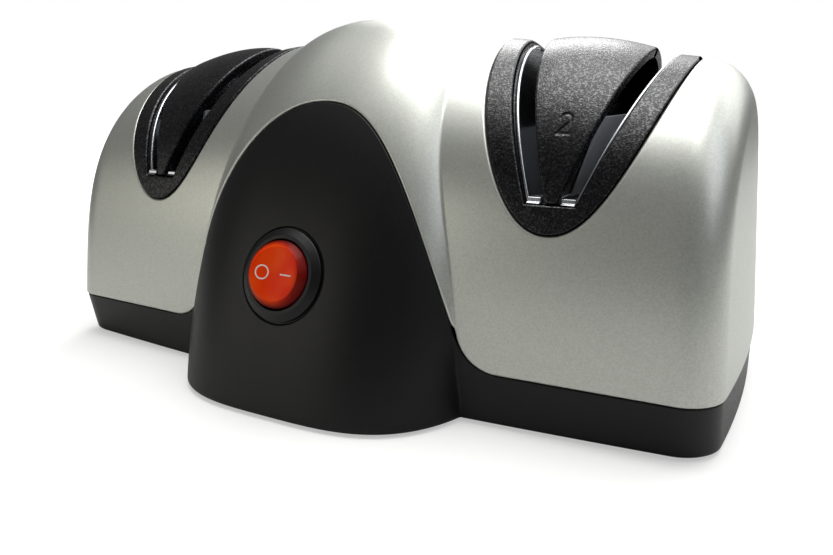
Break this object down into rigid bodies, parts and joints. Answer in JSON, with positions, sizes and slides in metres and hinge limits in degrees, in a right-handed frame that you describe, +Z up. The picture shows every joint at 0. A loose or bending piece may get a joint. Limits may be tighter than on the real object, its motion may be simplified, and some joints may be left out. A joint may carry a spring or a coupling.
{
  "type": "electric knife sharpener",
  "caption": "Countertop electric knife sharpener with a silver domed cover, two V-shaped slot stages and a red rocker switch.",
  "frame": {"origin": "on the ground under the middle of the footprint", "axes": "+X along the length to the right seen from the switch, +Y away from the switch, +Z up"},
  "size_m": [0.2212, 0.1514, 0.1079],
  "materials": {
    "silver_paint": "moulded ABS with a satin metallic silver paint",
    "black_texture": "moulded black plastic with a spark-eroded texture",
    "bright_steel": "bright rolled or turned steel",
    "grey_steel": "grey spring steel",
    "black_plastic": "moulded black plastic, satin",
    "rubber": "matt black rubber",
    "red_plastic": "clear-coated translucent red-orange plastic",
    "abrasive": "resin-bonded abrasive, rough",
    "brass": "machined, satin",
    "iron": "plated or oiled steel, dull",
    "copper": "lacquered copper winding and segments",
    "carbon": "pressed carbon, matt",
    "magnet": "sintered ferrite, matt",
    "pale_plastic": "moulded off-white plastic"
  },
  "bodies": {
    "housing": {"top_cover": "silver_paint", "guide_frame_1": "black_texture", "guide_block_1": "black_texture", "outer_plate_1_left": "bright_steel", "inner_plate_1_left": "grey_steel", "outer_plate_1_right": "bright_steel", "inner_plate_1_right": "grey_steel", "guide_frame_2": "black_texture", "guide_block_2": "black_texture", "outer_plate_2_left": "bright_steel", "inner_plate_2_left": "grey_steel", "outer_plate_2_right": "bright_steel", "inner_plate_2_right": "grey_steel", "base_housing": "black_plastic", "foot_front_left": "rubber", "foot_rear_left": "rubber", "foot_front_right": "rubber", "foot_rear_right": "rubber", "cover_screw_front_left": "bright_steel", "cover_screw_rear_left": "bright_steel", "cover_screw_front_right": "bright_steel", "cover_screw_rear_right": "bright_steel", "switch_body": "black_plastic", "switch_terminal_left": "brass", "switch_terminal_right": "brass", "cord_gland": "rubber", "end_bearing_left": "brass", "bearing_cap_left": "black_plastic", "end_bearing_right": "brass", "bearing_cap_right": "black_plastic", "motor_can": "iron", "end_bell_left": "pale_plastic", "end_bell_right": "pale_plastic", "motor_bearing_left": "brass", "motor_bearing_right": "brass", "carbon_brush_lower": "carbon", "magnet_lower": "magnet", "carbon_brush_upper": "carbon", "magnet_upper": "magnet", "motor_strap": "grey_steel", "strap_screw_front": "bright_steel", "strap_screw_rear": "bright_steel"},
    "rotor": {"drive_shaft": "bright_steel", "wheel_spring_1": "grey_steel", "stop_ring_1_left": "bright_steel", "stop_ring_1_right": "bright_steel", "wheel_spring_2": "grey_steel", "stop_ring_2_left": "bright_steel", "stop_ring_2_right": "bright_steel", "rotor_core": "iron", "rotor_coil": "copper", "commutator": "copper", "cooling_fan": "pale_plastic"},
    "rocker": {"rocker_button": "red_plastic"},
    "wheel_1_left": {"grinding_wheel_1_left": "abrasive"},
    "wheel_1_right": {"grinding_wheel_1_right": "abrasive"},
    "wheel_2_left": {"grinding_wheel_2_left": "abrasive"},
    "wheel_2_right": {"grinding_wheel_2_right": "abrasive"}
  },
  "joints": [
    {"name": "drive_spin", "type": "hinge", "parent": "housing", "child": "rotor", "pos_m": [0, 0, 0.038], "axis": [1, 0, 0], "continuous": true},
    {"name": "wheel_slide_1_left", "type": "slide", "parent": "rotor", "child": "wheel_1_left", "axis": [1, 0, 0], "range_m": [0, 0.0008], "stiffness_N_per_m": 1500, "springref_m": -0.003},
    {"name": "wheel_slide_1_right", "type": "slide", "parent": "rotor", "child": "wheel_1_right", "axis": [-1, 0, 0], "range_m": [0, 0.0008], "stiffness_N_per_m": 1500, "springref_m": -0.003},
    {"name": "wheel_slide_2_left", "type": "slide", "parent": "rotor", "child": "wheel_2_left", "axis": [1, 0, 0], "range_m": [0, 0.0008], "stiffness_N_per_m": 1500, "springref_m": -0.003},
    {"name": "wheel_slide_2_right", "type": "slide", "parent": "rotor", "child": "wheel_2_right", "axis": [-1, 0, 0], "range_m": [0, 0.0008], "stiffness_N_per_m": 1500, "springref_m": -0.003},
    {"name": "rocker_tilt", "type": "hinge", "parent": "housing", "child": "rocker", "pos_m": [0, -0.06436, 0.03757], "axis": [0, -0.3331, -0.9429], "range_deg": [0, 10]}
  ]
}
